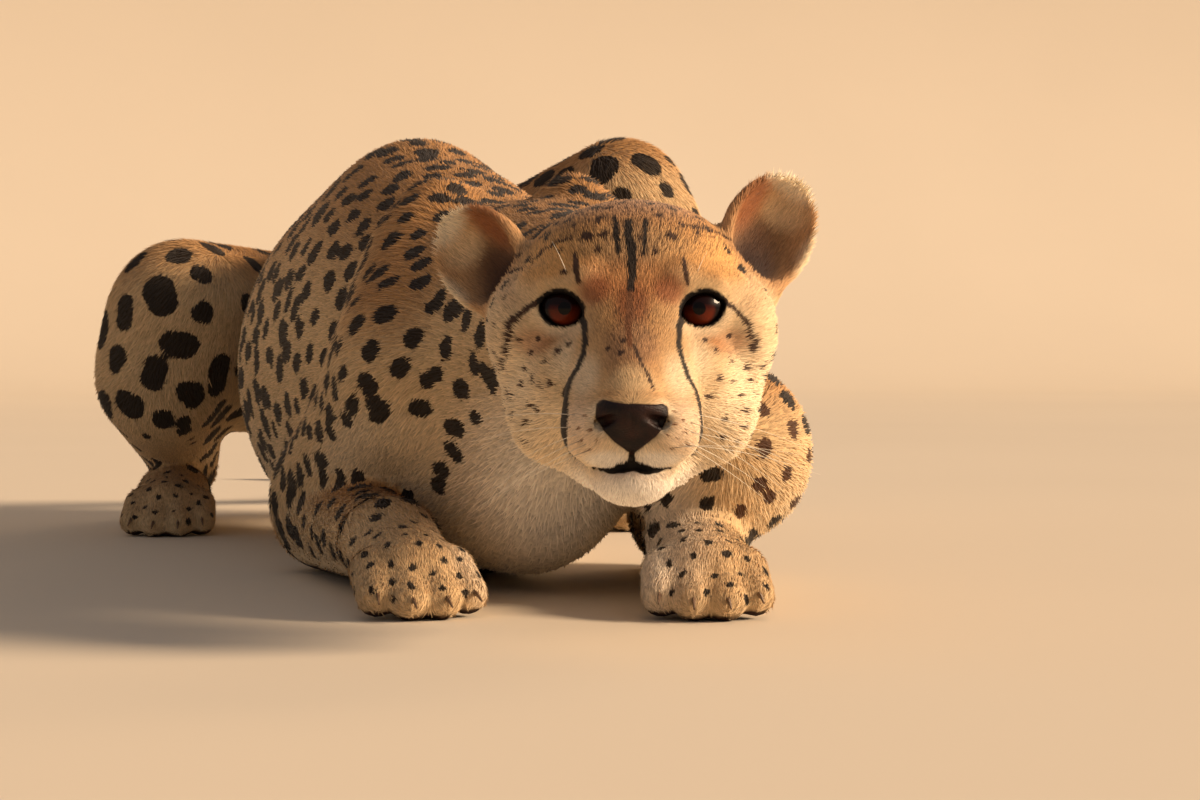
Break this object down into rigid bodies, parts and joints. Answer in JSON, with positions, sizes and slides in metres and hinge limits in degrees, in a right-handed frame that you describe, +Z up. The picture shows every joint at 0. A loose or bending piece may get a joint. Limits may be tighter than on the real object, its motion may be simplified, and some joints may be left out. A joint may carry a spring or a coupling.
{
  "type": "cheetah",
  "caption": "Life-size cheetah lying crouched, forelegs out, knees raised beside the belly and tail laid behind, head low and looking ahead: a still, museum-like figure.",
  "frame": {"origin": "on the floor, under the middle of the whole animal from nose to tail tip and from knee to knee", "axes": "+Z up, -Y the way the body faces, +X the animal's left"},
  "size_m": [0.5218, 1.6928, 0.3366],
  "materials": {
    "coat": "short dense fur, tawny with solid dark spots, cream below",
    "nose": "bare damp skin, near black",
    "eye": "wet cornea over a dark amber iris with a round pupil",
    "claw": "smooth dark horn, blunt at the tip"
  },
  "bodies": {
    "root": {"belly": "coat", "chest": "coat", "claw_forepaw_left_1": "claw", "claw_forepaw_left_2": "claw", "claw_forepaw_left_3": "claw", "claw_forepaw_left_4": "claw", "claw_forepaw_right_1": "claw", "claw_forepaw_right_2": "claw", "claw_forepaw_right_3": "claw", "claw_forepaw_right_4": "claw", "claw_hindpaw_left_1": "claw", "claw_hindpaw_left_2": "claw", "claw_hindpaw_left_3": "claw", "claw_hindpaw_left_4": "claw", "claw_hindpaw_right_1": "claw", "claw_hindpaw_right_2": "claw", "claw_hindpaw_right_3": "claw", "claw_hindpaw_right_4": "claw", "ear_left": "coat", "ear_right": "coat", "eye_left": "eye", "eye_right": "eye", "forearm_left": "coat", "forearm_right": "coat", "forepaw_left": "coat", "forepaw_right": "coat", "head": "coat", "hindpaw_left": "coat", "hindpaw_right": "coat", "jaw": "coat", "neck": "coat", "nose": "nose", "rump": "coat", "shank_left": "coat", "shank_right": "coat", "tail_base": "coat", "tail_middle": "coat", "tail_tip": "coat", "thigh_left": "coat", "thigh_right": "coat", "upper_arm_left": "coat", "upper_arm_right": "coat"}
  },
  "joints": []
}
